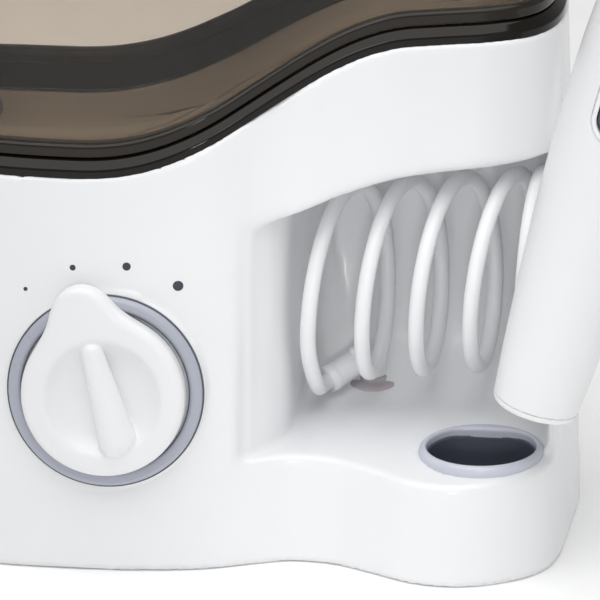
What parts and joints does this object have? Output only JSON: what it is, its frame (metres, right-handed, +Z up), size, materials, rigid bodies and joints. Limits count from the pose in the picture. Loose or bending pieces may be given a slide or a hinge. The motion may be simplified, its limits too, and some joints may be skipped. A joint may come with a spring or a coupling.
{
  "type": "water flosser",
  "caption": "Countertop water flosser with a smoked tank, front pressure dial, coiled hose in an open bay and a leaning handset.",
  "frame": {"origin": "on the table, under the middle of the housing's footprint", "axes": "+X to the right seen from the dial side, +Y to the back, +Z up"},
  "size_m": [0.2525, 0.1212, 0.2551],
  "materials": {
    "white_shell": "glossy white moulding",
    "cover_plastic": "matt light grey moulding",
    "rubber": "matt",
    "steel": "plain",
    "black_gloss": "glossy black",
    "blue_grey": "satin blue-grey moulding",
    "dark_print": "pad print",
    "inner_plastic": "unfinished engineering plastic",
    "hose_white": "flexible white tube",
    "gear_plastic": "natural acetal",
    "brass": "turned",
    "board": "solder resist",
    "smoked": "smoked transparent plastic",
    "slate": "dark blue-grey soft plastic"
  },
  "bodies": {
    "base": {"main_housing": "white_shell", "bottom_cover": "cover_plastic", "foot_ring": "rubber", "housing_screws": "steel", "tank_tray": "black_gloss", "inlet_spigot": "steel", "spigot_seal": "rubber", "dial_ring": "blue_grey", "dial_marks": "dark_print", "regulator_body": "inner_plastic", "socket_ring": "blue_grey", "socket_cup": "slate", "handle_cradle": "white_shell", "cradle_magnet": "steel", "hose_flange": "cover_plastic", "hose_elbow": "hose_white", "hose_coil": "hose_white", "hose_lead": "hose_white", "chassis": "inner_plastic", "gear_frame": "inner_plastic", "motor_can": "steel", "gear_axle": "steel", "pump_body": "inner_plastic", "inlet_tube": "hose_white", "outlet_tube": "hose_white", "power_board": "board", "control_board": "board", "power_inlet": "rubber"},
    "dial": {"dial_knob": "white_shell", "dial_stem": "steel"},
    "motor_rotor": {"motor_shaft": "steel", "motor_pinion": "brass"},
    "crank": {"drive_gear": "gear_plastic", "crank_pin": "steel"},
    "piston": {"pump_piston": "gear_plastic", "piston_rod": "steel"},
    "tank": {"water_tank": "smoked", "valve_housing": "slate", "valve_spring": "steel"},
    "plunger": {"valve_plunger": "steel"},
    "lid": {"tank_lid": "smoked"},
    "handset": {"grip_front_shell": "white_shell", "grip_rear_shell": "white_shell", "grip_end_cap": "white_shell", "hose_nipple": "white_shell", "grip_tube": "inner_plastic", "grip_keeper": "steel", "switch_bezel": "white_shell", "eject_spring": "steel"},
    "switch": {"switch_slider": "slate"},
    "eject": {"eject_button": "white_shell"},
    "collar": {"tip_collar": "blue_grey"},
    "tip": {"jet_tip": "white_shell"}
  },
  "joints": [
    {"name": "dial_turn", "type": "hinge", "parent": "base", "child": "dial", "pos_m": [-0.0275, -0.0512, 0.054], "axis": [0, -0.9981, 0.061], "range_deg": [-48.4, 23.8]},
    {"name": "crank_spin", "type": "hinge", "parent": "base", "child": "crank", "pos_m": [-0.046, 0.015, 0.0575], "axis": [0, 0, 1], "continuous": true},
    {"name": "motor_spin", "type": "hinge", "parent": "base", "child": "motor_rotor", "pos_m": [-0.07, 0.015, 0.0575], "axis": [0, 0, 1], "continuous": true},
    {"name": "piston_stroke", "type": "slide", "parent": "base", "child": "piston", "axis": [1, 0, 0], "range_m": [-0.012, 0]},
    {"name": "tank_lift", "type": "slide", "parent": "base", "child": "tank", "axis": [0, 0, 1], "range_m": [0, 0.06]},
    {"name": "valve_open", "type": "slide", "parent": "tank", "child": "plunger", "axis": [0, 0, 1], "range_m": [0, 0.002], "stiffness_N_per_m": 150},
    {"name": "lid_lift", "type": "slide", "parent": "tank", "child": "lid", "axis": [0, 0, 1], "range_m": [0, 0.03]},
    {"name": "handset_pull", "type": "slide", "parent": "base", "child": "handset", "axis": [0, -1, 0], "range_m": [0, 0.06]},
    {"name": "switch_slide", "type": "slide", "parent": "handset", "child": "switch", "axis": [0.2672, 0, 0.9636], "range_m": [0, 0.005]},
    {"name": "eject_press", "type": "slide", "parent": "handset", "child": "eject", "axis": [0, 1, 0], "range_m": [0, 0.0015], "stiffness_N_per_m": 300},
    {"name": "collar_turn", "type": "hinge", "parent": "handset", "child": "collar", "pos_m": [0.13489, -0.044, 0.19543], "axis": [0.2672, 0, 0.9636], "continuous": true},
    {"name": "tip_pull", "type": "slide", "parent": "collar", "child": "tip", "axis": [0.2672, 0, 0.9636], "range_m": [0, 0.02]}
  ],
  "couplings": [
    {"joint": "motor_spin", "follows": "crank_spin", "ratio": -3}
  ]
}
